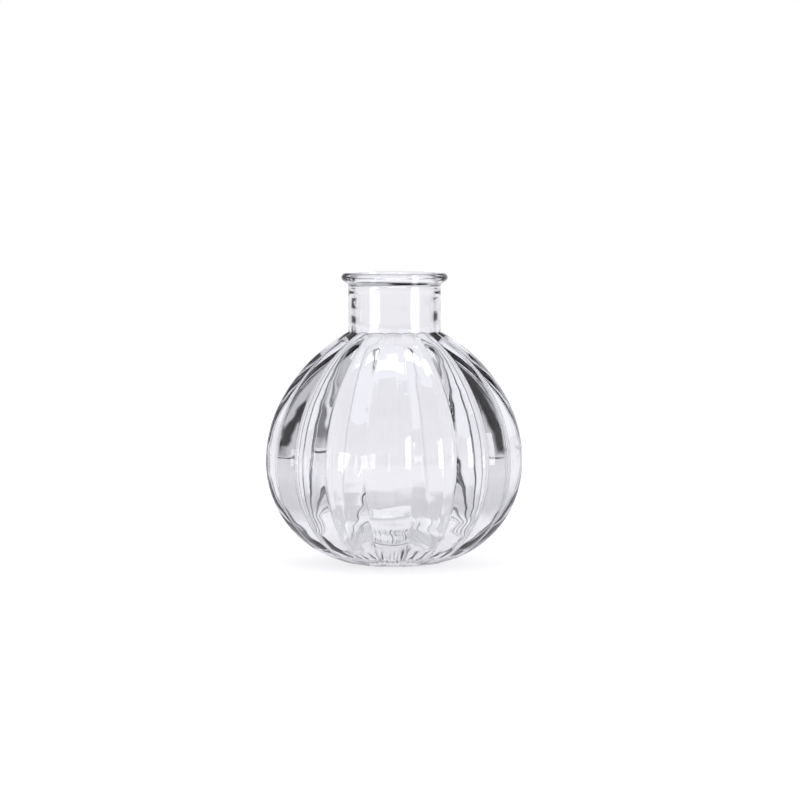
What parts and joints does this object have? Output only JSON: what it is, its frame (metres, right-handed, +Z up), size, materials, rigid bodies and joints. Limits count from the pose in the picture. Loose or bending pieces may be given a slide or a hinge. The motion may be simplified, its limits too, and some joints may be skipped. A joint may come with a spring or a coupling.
{
  "type": "bud vase",
  "caption": "Squat round clear glass bud vase with convex vertical lobes, a short plain neck, a flared rim and a flat bearing ring under the base.",
  "frame": {"origin": "centre of the bearing ring, on the plane that the vase stands on", "axes": "+Z up along the vase's axis of revolution, through the mouth; -Y is the front"},
  "size_m": [0.0794, 0.08, 0.09],
  "materials": {
    "clear_glass": "fire-polished moulded soda-lime glass"
  },
  "bodies": {
    "root": {"lip_ring": "clear_glass", "neck": "clear_glass", "shoulder": "clear_glass", "body": "clear_glass", "heel": "clear_glass", "base": "clear_glass"}
  },
  "joints": []
}
